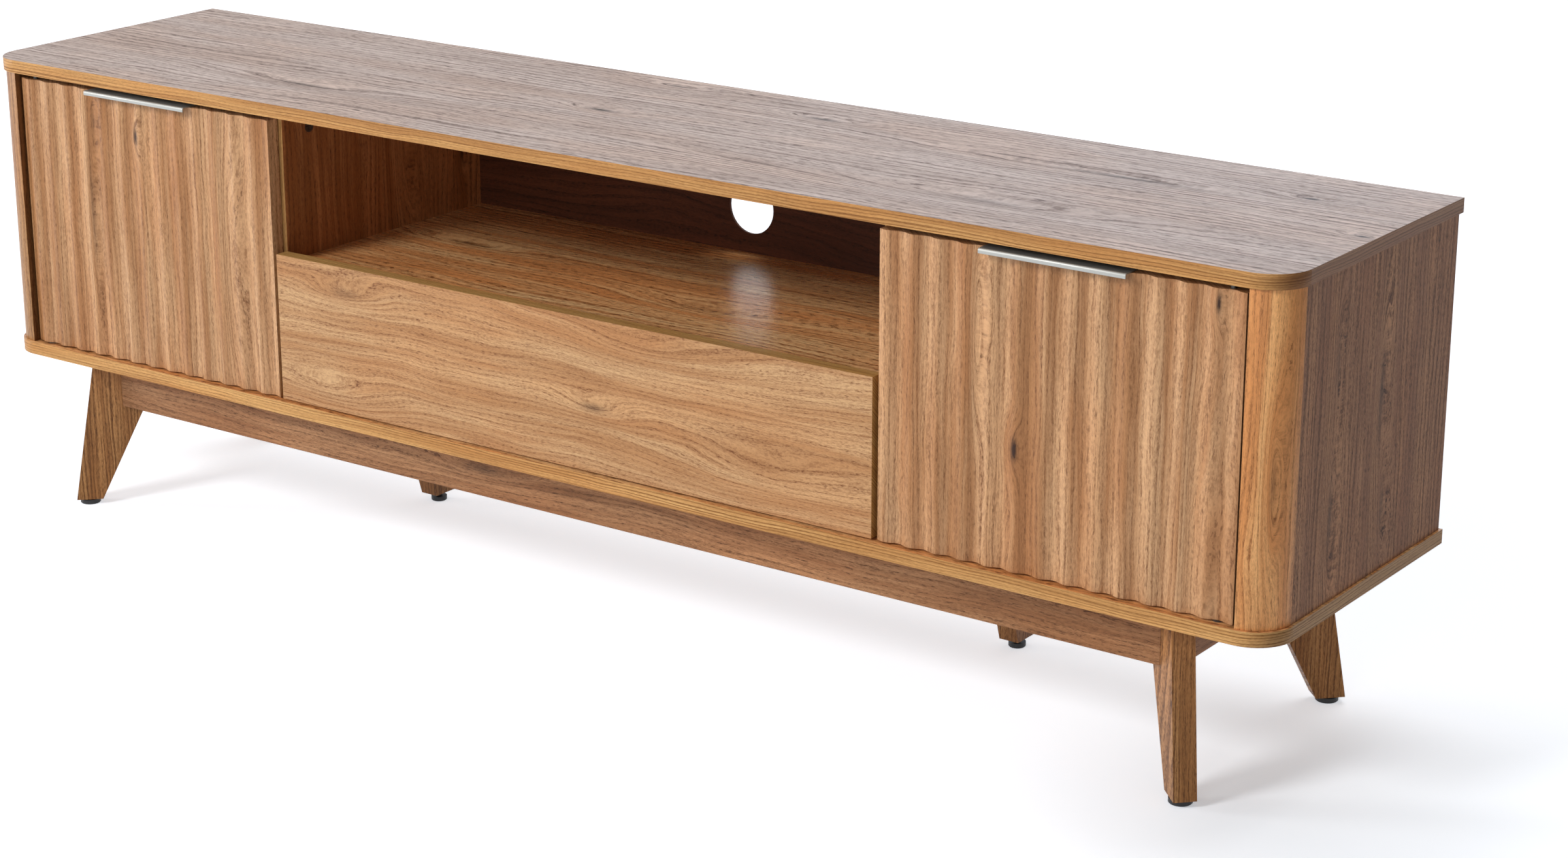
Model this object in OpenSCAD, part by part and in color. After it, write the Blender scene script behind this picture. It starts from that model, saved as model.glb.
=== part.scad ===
// Low media cabinet: two wavy-fronted doors, an open bay over a wide drawer,
// quarter-round front posts and a splayed-leg underframe.
// X runs along the cabinet, Y from front to back, Z up. The origin lies on the
// floor under the middle of the whole object.

/* [Cabinet] */
// Length of the top and bottom boards
width = 1800; // [1500:10:2200]
// Depth of the top and bottom boards
depth = 390; // [360:5:450]
// Height of the top surface above the floor
height = 572; // [540:1:620]
// Height of the body, from the top surface to the underside of the bottom board
body_height = 379; // [340:1:420]
// Thickness of the boards
board = 16; // [15:0.5:19]
// Radius of the front corners of the top and bottom boards
corner_radius = 44; // [36:1:56]
// How far the boards stand out over the posts and side panels
overhang = 3; // [2:0.5:5]
// How far the boards stand out over the rear edges of the side panels
rear_overhang = 4; // [2:0.5:8]

/* [Back] */
// Distance from the boards' rear edge to the back sheets' rear face
back_inset = 10; // [8:0.5:16]
// Thickness of the back sheets
back_thickness = 3; // [2.5:0.5:5]
// Depth of the grooves that hold the back sheets
groove_depth = 6; // [4:0.5:8]
// Diameter of the cable hole
cable_hole = 64; // [50:1:80]
// Height of the cable hole's centre above the media shelf
cable_hole_rise = 55.5; // [45:0.5:80]

/* [Open bay and shelves] */
// Clear width between the partitions
bay_width = 851; // [700:1:1000]
// Clear height of the open bay
bay_height = 179.5; // [150:0.5:210]
// Height of the inner shelves' underside above the bottom board
inner_shelf_height = 160; // [130:1:200]
// Distance from the carcass front to the inner shelves' front edge
inner_shelf_setback = 24; // [20:1:60]
// Diameter of the shelf pins
pin_dia = 5; // [4:0.5:6]
// Spacing of the rows of pin holes
pin_pitch = 32; // [24:1:40]

/* [Doors and drawer front] */
// Thickness of the doors and the drawer front
front_thickness = 18; // [16:0.5:22]
// Distance from the boards' front edge to the face of the fronts
front_recess = 6; // [4:0.5:10]
// Gap between the fronts and the bottom board
front_gap = 2; // [1.5:0.5:4]
// Gap between the doors and the top board
door_head_gap = 7; // [6:0.5:10]
// Gap between a door and its corner post
post_gap = 3.3; // [2.8:0.1:5]
// Gap between a door and the drawer front
split_gap = 5.5; // [3:0.5:7]
// Gap between the fronts' rear faces and the carcass
rest_gap = 2; // [1.5:0.5:4]
// Pitch of the waves on the doors
wave_pitch = 31.6; // [24:0.2:40]
// Depth of the waves
wave_depth = 4.5; // [3:0.5:5]
// Distance from the right door's inner edge to its first crest
right_crest = 10; // [0:0.5:20]
// How far the drawer front stands above the media shelf as a finger lip
drawer_lip = 13; // [8:0.5:20]

/* [Door handles] */
// Length of a handle
handle_length = 169; // [120:1:240]
// How far the lip stands in front of the door's crests
handle_reach = 11; // [10:0.5:16]
// Height of the lip
handle_lip = 5.5; // [5:0.5:10]
// Thickness of the aluminium
handle_wall = 1.6; // [1.5:0.1:2.5]
// Height of the flange behind the door
handle_flange = 16; // [12:0.5:24]

/* [Door pivots] */
// Distance from the door's outer edge to the pivot
pivot_inset = 20; // [18:0.5:24]
// Distance from the door's face to the pivot
pivot_setback = 10; // [9:0.5:10]
// Diameter of the pivot pins
pivot_dia = 6; // [5:0.5:6]
// Length of a pivot pin inside the door
pivot_grip = 22; // [16:1:30]
// Depth of a pivot bush in its board
bush_depth = 10; // [8:0.5:11]
// Outer diameter of a pivot bush
bush_dia = 10; // [9:0.5:12]

/* [Drawer] */
// Thickness of the drawer sides and back
drawer_wall = 12; // [10:0.5:15]
// Gap between the drawer sides and the media shelf
drawer_top_gap = 29.5; // [20:0.5:40]
// Gap between the drawer and the back sheet
drawer_rear_gap = 23; // [10:1:40]
// Height of the drawer sides above the bottom board
drawer_lift = 18; // [12:1:26]
// Thickness of the drawer bottom
drawer_floor = 4; // [3:0.5:6]
// Length of the runners
runner_length = 300; // [250:5:320]
// Height of the runners' outer members
runner_height = 36; // [32:1:46]
// Space that a runner takes on each side
runner_space = 13; // [12.7:0.1:14]
// Thickness of the runners' steel
runner_wall = 1.2; // [1:0.1:1.5]

/* [Underframe] */
// Height of the rails
rail_height = 63; // [50:1:80]
// Thickness of the rails
rail_thickness = 18; // [16:0.5:22]
// Distance from the boards' front edge to the front rail
rail_front_inset = 48.5; // [40:0.5:70]
// Distance from the boards' rear edge to the rear rail
rail_rear_inset = 63.5; // [45:0.5:80]
// Distance from the boards' ends to the side rails
rail_side_inset = 131; // [110:1:160]
// Thickness of the legs
leg_thickness = 25; // [20:0.5:30]
// How far a leg stands out from the rails' corner at the top
leg_shoulder = 20.5; // [16:0.5:28]
// How much further a leg stands out at its foot
leg_splay = 32; // [20:1:36]
// Width of a leg at the top
leg_top_width = 61.5; // [56:0.5:70]
// Width of a leg at its foot
leg_foot_width = 33; // [30:0.5:40]
// Distance from a cabinet end to the middle of the near centre leg
centre_leg_inset = 464; // [400:1:600]
// Width of a centre leg at the top
centre_leg_top_width = 92; // [70:1:110]
// Width of a centre leg at its foot
centre_leg_foot_width = 37; // [32:0.5:45]

/* [Levelling glides] */
// Height of the corner legs' feet above the floor
leg_clearance = 7; // [6:0.5:12]
// Height of the centre legs' feet above the floor
centre_clearance = 12; // [9:0.5:16]
// Diameter of the corner glides
glide_dia = 25.5; // [22:0.5:30]
// Diameter of the centre glides
centre_glide_dia = 20; // [18:0.5:24]
// Height of a glide's foot
glide_height = 6; // [5:0.5:6]
// Diameter of a glide's threaded stem
stem_dia = 8; // [6:0.5:8]
// Length of a glide's threaded stem
stem_length = 34; // [26:1:44]

/* [Fasteners] */
// Diameter of the cam locks
cam_dia = 15; // [14:0.5:16]
// Depth of the cam locks
cam_depth = 12.5; // [11:0.5:13]
// Distance from a panel's end to the cam locks
cam_edge = 24; // [20:0.5:34]
// Distance from a panel's front or rear edge to the cam locks
cam_margin = 46; // [36:1:60]
// Diameter of the cam bolts
cam_bolt_dia = 7; // [6:0.5:7.5]
// Thickness of the steel corner plates
plate_steel = 2; // [1.5:0.1:3]
// Height of the corner plates
plate_height = 40; // [30:1:46]

/* [Hidden] */
$fn = 48;
eps = 0.01;
// running clearance round pins and stems, and a loose clearance round panels
run = 0.05;
slack = 0.5;

// planes, from front to back
handle_out = max(0, handle_reach - front_recess);
front_y = (handle_out - depth) / 2;
back_y = front_y + depth;
face_y = front_y + front_recess;
face_rear_y = face_y + front_thickness;
carcass_y = face_rear_y + rest_gap;
sheet_rear_y = back_y - back_inset;
sheet_y = sheet_rear_y - back_thickness;
side_rear_y = back_y - rear_overhang;

// levels
top_under = height - board;
base_under = height - body_height;
base_top = base_under + board;
shelf_top = top_under - bay_height;
shelf_under = shelf_top - board;
door_bottom = base_top + front_gap;
door_top = top_under - door_head_gap;
rail_bottom = base_under - rail_height;

// stations along the cabinet
end_x = width / 2;
side_in_x = end_x - overhang - board;
bay_x = bay_width / 2;
partition_x = bay_x + board;
drawer_front_x = bay_x - slack;
door_in_x = drawer_front_x + split_gap;
door_out_x = end_x - corner_radius - post_gap;
door_width = door_out_x - door_in_x;
door_mid_x = (door_in_x + door_out_x) / 2;
pivot_x = door_out_x - pivot_inset;
pivot_y = face_y + pivot_setback;
post_radius = corner_radius - overhang;
wave_steps = 16;

// inner shelves and their pins
inner_shelf_y = carcass_y + inner_shelf_setback;
inner_shelf_z = base_top + inner_shelf_height;
pin_reach = 8;
pin_hole = 9;
pin_rows = [-1, 0, 1];
pin_front = 50;
pin_rear = 70;
pin_ys = [inner_shelf_y + pin_front, sheet_y - pin_rear];

// cam locks
cam_ys = [carcass_y + cam_margin, sheet_y - cam_margin];
side_cam_ys = [front_y + corner_radius + cam_margin, sheet_y - cam_margin];
cam_zs = [base_top + cam_edge, top_under - cam_edge];
cam_bolt_bite = 11;
// the media shelf's screws: depth of the sunk heads, and how far they reach into the shelf
screw_head = 3;
screw_head_dia = 10;
screw_shank = 7;
screw_bite = 34;
screw_core = 5;

// drawer
drawer_x = bay_x - runner_space;
drawer_bottom_z = base_top + drawer_lift;
drawer_top_z = shelf_under - drawer_top_gap;
drawer_rear_y = sheet_y - drawer_rear_gap;
drawer_screw_rise = (drawer_top_z - drawer_bottom_z) / 3;
floor_lift = 12;
floor_z = drawer_bottom_z + floor_lift;
floor_groove = 6;
drawer_screw_head = 1;
drawer_screw_dia = 8;
// width of a runner's channels, across the cabinet
runner_width = 9;
runner_mid_z = (drawer_bottom_z + drawer_top_z) / 2;
runner_y = carcass_y + 2;
runner_gap = 0.3;

// door catches
catch_length = 46;
catch_height = 14;
catch_depth = 15;
strike_thickness = 1.2;
catch_x = partition_x + 4;

// underframe: each corner's own frame starts where the rails' outer faces meet
frame_x = end_x - rail_side_inset;
frame_front_y = front_y + rail_front_inset;
frame_rear_y = back_y - rail_rear_inset;
frame_mid_y = (frame_front_y + frame_rear_y) / 2;
frame_half_y = (frame_rear_y - frame_front_y) / 2;
mitre = leg_thickness / sqrt(2);
centre_leg_x = end_x - centre_leg_inset;
centre_leg_back = frame_rear_y - rail_thickness;
foot_u = leg_foot_width / 2 - leg_shoulder - leg_splay;
leg_in_u = leg_top_width - leg_shoulder;
plate_u = leg_in_u + 8;
plate_mid_z = base_under - rail_height / 2;
bracket_width = 16;
bracket_reach = 20;
bracket_screw_dia = 4;
bracket_head_dia = 8;
bracket_head = 1.6;
bracket_xs = [centre_leg_x / 2, (centre_leg_x + frame_x) / 2];
leg_screw_pitch = 30;
leg_screw_zs = [plate_mid_z - leg_screw_pitch / 2, plate_mid_z + leg_screw_pitch / 2];
plate_flange = 22;
bolt_end = 9;
nut_height = 6.5;
nut_dia = 14.5;
insert_dia = stem_dia + 3.5;
insert_depth = 15;
stem_hole = stem_length - glide_height + 4;

// ---- helpers ----

// a box from one corner to the opposite one
module block(a, b) { translate(a) cube(b - a); }

// the same piece on the right (side = 1) or mirrored to the left (side = -1)
module on_side(side) { mirror([side < 0 ? 1 : 0, 0, 0]) children(); }

module both_sides() { for (side = [-1, 1]) on_side(side) children(); }

// a cylinder along X that starts at a point and runs towards +X
module rod_x(at, length, d) { translate(at) rotate([0, 90, 0]) cylinder(d = d, h = length); }

// a cylinder along Y that starts at a point and runs towards +Y
module rod_y(at, length, d) { translate(at) rotate([-90, 0, 0]) cylinder(d = d, h = length); }

// ---- boards ----

// the boards' plan: square at the back, round at the two front corners
module board_plan() {
  translate([-end_x, front_y + corner_radius]) square([width, depth - corner_radius]);
  translate([corner_radius - end_x, front_y]) square([width - 2 * corner_radius, depth]);
  for (side = [-1, 1])
    translate([side * (end_x - corner_radius), front_y + corner_radius])
      circle(r = corner_radius, $fn = 96);
}

// the groove that the back sheets stand in, between two levels
module back_groove(z0, z1) {
  block([-side_in_x - groove_depth, sheet_y - run, z0], [side_in_x + groove_depth, sheet_rear_y + run, z1]);
}

// a bush's seat: its sleeve's bore
module bush_seat(z) {
  both_sides() translate([pivot_x, pivot_y, z]) cylinder(d = bush_dia, h = bush_depth);
}

// holes for the cam bolts that stand in a board
module cam_bolt_holes(z) {
  both_sides() {
    for (y = cam_ys)
      translate([partition_x - board / 2, y, z]) cylinder(d = cam_bolt_dia, h = cam_bolt_bite);
    for (y = side_cam_ys)
      translate([side_in_x + board / 2, y, z]) cylinder(d = cam_bolt_dia, h = cam_bolt_bite);
  }
}

module top_board() {
  color("#b79a83") difference() {
    translate([0, 0, top_under]) linear_extrude(board) board_plan();
    back_groove(top_under - 1, top_under + groove_depth);
    bush_seat(top_under);
    cam_bolt_holes(top_under);
  }
}

module bottom_board() {
  color("#c79a63") difference() {
    translate([0, 0, base_under]) linear_extrude(board) board_plan();
    back_groove(base_top - groove_depth, base_top + 1);
    bush_seat(base_top - bush_depth);
    cam_bolt_holes(base_top - cam_bolt_bite);
  }
}

// ---- upright panels ----

// rows of shelf-pin holes that open towards +X
module pin_holes(x) {
  for (y = pin_ys, row = pin_rows)
    rod_x([x - pin_hole, y, inner_shelf_z - pin_dia / 2 + row * pin_pitch], pin_hole + eps, pin_dia);
}

// cam pockets that open towards +X, each with the bolt's bore to the panel's end
module cam_pockets(x, ys, mid_x) {
  for (y = ys, z = cam_zs) {
    rod_x([x - cam_depth, y, z], cam_depth + eps, cam_dia);
    translate([mid_x, y, z < height - body_height / 2 ? base_top - eps : z])
      cylinder(d = cam_bolt_dia, h = cam_edge + eps);
  }
}

// the left side panel, whose inner face looks towards +X
module side_panel() {
  difference() {
    block([-end_x + overhang, front_y + corner_radius, base_top], [-side_in_x, side_rear_y, top_under]);
    block([-side_in_x - groove_depth, sheet_y - run, base_top - 1],
      [-side_in_x + 1, sheet_rear_y + run, top_under + 1]);
    pin_holes(-side_in_x);
    cam_pockets(-side_in_x, side_cam_ys, -side_in_x - board / 2);
  }
}

module left_side_panel() { color("#8f6f57") side_panel(); }
module right_side_panel() { color("#8f6f57") mirror([1, 0, 0]) side_panel(); }

// a quarter-round post
module corner_post() {
  translate([end_x - corner_radius, front_y + corner_radius, base_top])
    intersection() {
      cylinder(r = post_radius, h = top_under - base_top, $fn = 96);
      translate([0, -corner_radius, 0]) cube([corner_radius, corner_radius, top_under - base_top]);
    }
}

module left_corner_post() { color("#b98c5c") mirror([1, 0, 0]) corner_post(); }
module right_corner_post() { color("#b98c5c") corner_post(); }

// holes through a partition for the media shelf's screws
module shelf_screw_holes() {
  for (y = cam_ys)
    rod_x([-partition_x - eps, y, shelf_top - board / 2], board + 2 * eps, screw_shank);
  for (y = cam_ys)
    rod_x([-partition_x - eps, y, shelf_top - board / 2], screw_head + eps, screw_head_dia);
}

// the left partition: its cams face the bay, its pin holes the left cupboard
module partition() {
  difference() {
    block([-partition_x, carcass_y, base_top], [-bay_x, sheet_y, top_under]);
    cam_pockets(-bay_x, cam_ys, -partition_x + board / 2);
    shelf_screw_holes();
    mirror([1, 0, 0]) pin_holes(partition_x);
  }
}

module left_partition() { color("#8a5f3c") partition(); }
module right_partition() { color("#8a5f3c") mirror([1, 0, 0]) partition(); }

module media_shelf() {
  color("#9c6a3f") difference() {
    block([-bay_x, carcass_y, shelf_under], [bay_x, sheet_y, shelf_top]);
    both_sides() for (y = cam_ys)
      rod_x([bay_x - screw_bite, y, shelf_top - board / 2], screw_bite + eps, screw_core);
  }
}

module media_shelf_screws() {
  color("#c9c9c9") both_sides() for (y = cam_ys) {
    rod_x([bay_x - screw_bite, y, shelf_top - board / 2], screw_bite, screw_core);
    rod_x([bay_x, y, shelf_top - board / 2], board, screw_shank);
    rod_x([partition_x - screw_head, y, shelf_top - board / 2], screw_head, screw_head_dia);
  }
}

// ---- back sheets ----

module back_sheet(x0, x1) {
  block([x0, sheet_y, base_top - groove_depth + slack],
    [x1, sheet_rear_y, top_under + groove_depth - slack]);
}

module side_back_sheet() {
  back_sheet(-side_in_x - groove_depth + slack, -partition_x + board / 2 - slack);
}

module left_back_sheet() { color("#6d4b33") side_back_sheet(); }
module right_back_sheet() { color("#6d4b33") mirror([1, 0, 0]) side_back_sheet(); }

module centre_back_sheet() {
  color("#6d4b33") difference() {
    back_sheet(-partition_x + board / 2, partition_x - board / 2);
    rod_y([0, sheet_y - 1, shelf_top + cable_hole_rise], back_thickness + 2, cable_hole, $fn = 96);
  }
}

// ---- inner shelves ----

module inner_shelf() {
  block([-side_in_x + 1, inner_shelf_y, inner_shelf_z],
    [-partition_x - 1, sheet_y - 1, inner_shelf_z + board]);
}

module left_inner_shelf() { color("#a87a4c") inner_shelf(); }
module right_inner_shelf() { color("#a87a4c") mirror([1, 0, 0]) inner_shelf(); }

module shelf_pins() {
  pin_z = inner_shelf_z - pin_dia / 2;
  color("#c9c9c9") both_sides() for (y = pin_ys) {
    rod_x([side_in_x - pin_reach, y, pin_z], pin_reach + pin_hole - 1, pin_dia);
    rod_x([partition_x - pin_hole + 1, y, pin_z], pin_reach + pin_hole - 1, pin_dia);
  }
}

// ---- carcass fasteners ----

// one cam with its rim and cross slot, opening towards +X
module cam(x, y, z) {
  slot = [4, 2, 8];
  difference() {
    rod_x([x - cam_depth, y, z], cam_depth, cam_dia);
    rod_x([x - 1, y, z], 2, cam_dia - 3);
    for (turn = [0, 90]) translate([x, y, z]) rotate([turn, 0, 0]) cube(slot, center = true);
  }
}

module cam_locks() {
  color("#5a3d28") both_sides() for (z = cam_zs) {
    for (y = cam_ys) mirror([1, 0, 0]) cam(-bay_x, y, z);
    for (y = side_cam_ys) mirror([1, 0, 0]) cam(-side_in_x, y, z);
  }
}

// a bolt that stands in a board and ends in a cam
module cam_bolt(x, y, upper) {
  reach = cam_edge - cam_dia / 2;
  translate([x, y, upper ? top_under - reach : base_top - cam_bolt_bite])
    cylinder(d = cam_bolt_dia, h = reach + cam_bolt_bite);
}

module cam_bolts() {
  color("#c9c9c9") both_sides() for (upper = [false, true]) {
    for (y = cam_ys) cam_bolt(partition_x - board / 2, y, upper);
    for (y = side_cam_ys) cam_bolt(side_in_x + board / 2, y, upper);
  }
}

// ---- doors ----

// depth of the wave below its crests at a distance from a crest
function wave(from_crest) = wave_depth * (1 - cos(360 * from_crest / wave_pitch)) / 2;

// a door's plan on the right side; crest is the distance of a crest from its inner edge
module door_plan(crest) {
  count = ceil(door_width / wave_pitch * wave_steps);
  polygon(concat(
    [for (i = [0:count]) let (x = i * door_width / count) [door_in_x + x, face_y + wave(x - crest)]],
    [[door_out_x, face_rear_y], [door_in_x, face_rear_y]]));
}

module door(crest) {
  difference() {
    translate([0, 0, door_bottom]) linear_extrude(door_top - door_bottom) door_plan(crest);
    for (z = [door_bottom, door_top - pivot_grip])
      translate([pivot_x, pivot_y, z]) cylinder(d = pivot_dia, h = pivot_grip);
  }
}

// the left door's outer edge lies in a trough
left_crest = door_width - wave_pitch / 2;

module left_door() { color("#c2986a") mirror([1, 0, 0]) door(left_crest); }
module right_door() { color("#c2986a") door(right_crest); }

// the handle's section: a lip in front, a web over the door's edge, a flange behind
module handle_section() {
  lip_y = face_y - handle_reach;
  bend = handle_wall + 1;
  difference() {
    union() {
      translate([lip_y + bend, door_top]) square([face_rear_y - lip_y - bend + handle_wall, handle_wall]);
      translate([lip_y, door_top + handle_wall - handle_lip]) square([handle_wall, handle_lip - bend]);
      translate([lip_y + bend, door_top + handle_wall - bend]) circle(r = bend);
      translate([face_rear_y, door_top + handle_wall - handle_flange]) square([handle_wall, handle_flange]);
    }
    translate([lip_y + handle_wall, door_top - handle_lip])
      square([handle_reach - handle_wall, handle_lip]);
  }
}

module door_handle() {
  difference() {
    translate([door_mid_x - handle_length / 2, 0, 0]) rotate([90, 0, 90])
      linear_extrude(handle_length) handle_section();
    for (end = [-1, 1])
      rod_y([handle_screw_x(end), face_rear_y - 1, handle_screw_z], handle_wall + 2, handle_screw_dia);
  }
}

handle_screw_z = door_top - handle_flange / 2;
handle_screw_margin = 20;
handle_screw_dia = 3.5;
handle_screw_head_dia = 6.5;
handle_screw_head = 1.2;
function handle_screw_x(end) = door_mid_x + end * (handle_length / 2 - handle_screw_margin);

// screws from behind, through the flange into the door
module handle_screws() {
  for (end = [-1, 1]) {
    rod_y([handle_screw_x(end), face_rear_y, handle_screw_z], handle_wall, handle_screw_dia);
    rod_y([handle_screw_x(end), face_rear_y + handle_wall, handle_screw_z],
      handle_screw_head, handle_screw_head_dia);
  }
}

module left_door_handle() { color("#c8c7c2") mirror([1, 0, 0]) door_handle(); }
module right_door_handle() { color("#c8c7c2") door_handle(); }
module left_handle_screws() { color("#a8a8a8") mirror([1, 0, 0]) handle_screws(); }
module right_handle_screws() { color("#a8a8a8") handle_screws(); }

// pins pressed into the door's ends, which turn in the bushes
module pivot_pins() {
  translate([pivot_x, pivot_y, base_top - bush_depth + 1])
    cylinder(d = pivot_dia, h = bush_depth - 1 + front_gap + pivot_grip);
  translate([pivot_x, pivot_y, door_top - pivot_grip])
    cylinder(d = pivot_dia, h = pivot_grip + door_head_gap + bush_depth - 1);
}

module left_pivot_pins() { color("#b0b0b0") mirror([1, 0, 0]) pivot_pins(); }
module right_pivot_pins() { color("#b0b0b0") pivot_pins(); }

bush_flange = 1;

// flanged bushes in the boards; the door's weight rests on the lower flange
module pivot_bush(at, flange) {
  translate(at) difference() {
    union() {
      cylinder(d = bush_dia, h = bush_depth);
      translate([0, 0, bush_depth]) cylinder(d = bush_dia + 4, h = flange);
    }
    translate([0, 0, -1]) cylinder(d = pivot_dia + 2 * run, h = bush_depth + flange + 2);
  }
}

module pivot_bushes() {
  color("#3a2c22") both_sides() {
    pivot_bush([pivot_x, pivot_y, base_top - bush_depth], front_gap - 0.2);
    translate([0, 0, 2 * top_under]) mirror([0, 0, 1])
      pivot_bush([pivot_x, pivot_y, top_under - bush_depth], bush_flange);
  }
}

// a magnetic catch under the top board beside each partition
module door_catch() {
  translate([catch_x, carcass_y, top_under - catch_height]) difference() {
    cube([catch_length, catch_depth, catch_height]);
    for (x = [9, catch_length - 13]) translate([x, -1, 3]) cube([4, 4, 8]);
  }
}

module door_catches() { color("#3a3a3a") both_sides() door_catch(); }

module strike_plate() {
  block([catch_x + 4, face_rear_y, top_under - catch_height + 1],
    [catch_x + catch_length - 4, face_rear_y + strike_thickness, door_top - 1]);
}

module left_strike_plate() { color("#c4c4c4") mirror([1, 0, 0]) strike_plate(); }
module right_strike_plate() { color("#c4c4c4") strike_plate(); }

// ---- drawer ----

module drawer_front() {
  color("#c79c6c") difference() {
    block([-drawer_front_x, face_y, base_top + front_gap],
      [drawer_front_x, face_rear_y, shelf_top + drawer_lip]);
    block([-drawer_x + drawer_wall - floor_groove, face_rear_y - floor_groove, floor_z - run],
      [drawer_x - drawer_wall + floor_groove, face_rear_y + 1, floor_z + drawer_floor + run]);
  }
}

module drawer_side() {
  difference() {
    block([drawer_x - drawer_wall, face_rear_y, drawer_bottom_z],
      [drawer_x, drawer_rear_y, drawer_top_z]);
    block([drawer_x - drawer_wall - 1, face_rear_y - 1, floor_z - run],
      [drawer_x - drawer_wall + floor_groove, drawer_rear_y + 1, floor_z + drawer_floor + run]);
  }
}

module drawer_left_side() { color("#c9a679") mirror([1, 0, 0]) drawer_side(); }
module drawer_right_side() { color("#c9a679") drawer_side(); }

module drawer_back() {
  inner = drawer_x - drawer_wall;
  color("#c9a679") block([-inner, drawer_rear_y - drawer_wall, floor_z + drawer_floor + run],
    [inner, drawer_rear_y, drawer_top_z]);
}

module drawer_bottom() {
  reach = drawer_x - drawer_wall + floor_groove - slack;
  color("#d9c3a0") block([-reach, face_rear_y - floor_groove + slack, floor_z],
    [reach, drawer_rear_y, floor_z + drawer_floor]);
}

// screws through the sides into the drawer back
module drawer_screws() {
  color("#c9c9c9") both_sides() for (z = [-1, 1])
    rod_x([drawer_x, drawer_rear_y - drawer_wall / 2, runner_mid_z + z * drawer_screw_rise],
      drawer_screw_head, drawer_screw_dia);
}

// a channel along Y that opens towards -X: x0 is its mouth, x1 the back of its web
module channel(x0, x1, half_height) {
  difference() {
    block([x0, runner_y, runner_mid_z - half_height],
      [x1, runner_y + runner_length, runner_mid_z + half_height]);
    block([x0 - 1, runner_y - 1, runner_mid_z - half_height + runner_wall],
      [x1 - runner_wall, runner_y + runner_length + 1, runner_mid_z + half_height - runner_wall]);
  }
}

runner_nest = runner_wall + runner_gap;

module runner_outer_members() {
  color("#b8bcc0") both_sides() channel(bay_x - runner_width, bay_x, runner_height / 2);
}

module runner_middle_members() {
  color("#aab0b4") both_sides()
    channel(bay_x - runner_width, bay_x - runner_nest, runner_height / 2 - runner_nest);
}

module runner_inner_members() {
  half = runner_height / 2 - 2 * runner_nest;
  color("#b8bcc0") both_sides() {
    block([drawer_x, runner_y, runner_mid_z - half],
      [drawer_x + runner_wall, runner_y + runner_length, runner_mid_z + half]);
    for (z = [-half, half - runner_wall])
      block([drawer_x, runner_y, runner_mid_z + z],
        [bay_x - 2 * runner_nest, runner_y + runner_length, runner_mid_z + z + runner_wall]);
  }
}

// ---- underframe ----

// a rail's plan between two mitred ends; it runs along X with its outer face on Y = 0
module rail_plan(half_length) {
  inner = half_length - mitre - rail_thickness;
  polygon([[mitre - half_length, 0], [half_length - mitre, 0],
    [inner, rail_thickness], [-inner, rail_thickness]]);
}

module rail(half_length) {
  translate([0, 0, rail_bottom]) linear_extrude(rail_height) rail_plan(half_length);
}

module front_rail() { color("#9a6e49") translate([0, frame_front_y, 0]) rail(frame_x); }

module rear_rail() {
  color("#9a6e49") difference() {
    translate([0, frame_rear_y, 0]) rotate(180) rail(frame_x);
    leg_screw_bores(eps);
  }
}

module side_rail() { translate([frame_x, frame_mid_y, 0]) rotate(90) rail(frame_half_y); }
module left_side_rail() { color("#8a5f40") mirror([1, 0, 0]) side_rail(); }
module right_side_rail() { color("#8a5f40") side_rail(); }

// places a piece drawn for one corner: U runs inwards along the diagonal, Z is up
module at_corner(side, end) {
  mirror([side < 0 ? 0 : 1, 0, 0])
    translate([-frame_x, end < 0 ? frame_front_y : frame_rear_y, 0])
      mirror([0, end < 0 ? 0 : 1, 0]) rotate(45) children();
}

// a leg: a plate in the diagonal plane, splayed outwards and tapered below the rails
module leg() {
  difference() {
    translate([0, leg_thickness / 2, 0]) rotate([90, 0, 0]) linear_extrude(leg_thickness)
      polygon([[-leg_shoulder, base_under], [leg_in_u, base_under], [leg_in_u, rail_bottom],
        [foot_u + leg_foot_width / 2, leg_clearance], [foot_u - leg_foot_width / 2, leg_clearance]]);
    translate([foot_u, 0, leg_clearance - eps]) {
      cylinder(d = insert_dia, h = insert_depth + eps);
      cylinder(d = stem_dia + 1, h = stem_hole);
    }
    rod_x([leg_in_u - leg_bolt_grip, 0, plate_mid_z], leg_bolt_grip + eps, leg_bolt_dia);
  }
}

leg_bolt_dia = 8;
leg_bolt_grip = 26;

module front_left_leg() { color("#a87c53") at_corner(-1, -1) leg(); }
module front_right_leg() { color("#a87c53") at_corner(1, -1) leg(); }
module rear_left_leg() { color("#a87c53") at_corner(-1, 1) leg(); }
module rear_right_leg() { color("#a87c53") at_corner(1, 1) leg(); }

module centre_leg() {
  foot_y = centre_leg_back - centre_leg_foot_width / 2;
  difference() {
    translate([centre_leg_x - leg_thickness / 2, 0, 0]) rotate([90, 0, 90]) linear_extrude(leg_thickness)
      polygon([[centre_leg_back, base_under], [centre_leg_back - centre_leg_top_width, base_under],
        [centre_leg_back - centre_leg_foot_width, centre_clearance], [centre_leg_back, centre_clearance]]);
    translate([centre_leg_x, foot_y, centre_clearance - eps]) {
      cylinder(d = insert_dia, h = insert_depth + eps);
      cylinder(d = stem_dia + 1, h = stem_hole);
    }
    leg_screw_bores(eps);
  }
}

module left_centre_leg() { color("#8a5f40") mirror([1, 0, 0]) centre_leg(); }
module right_centre_leg() { color("#8a5f40") centre_leg(); }

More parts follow.
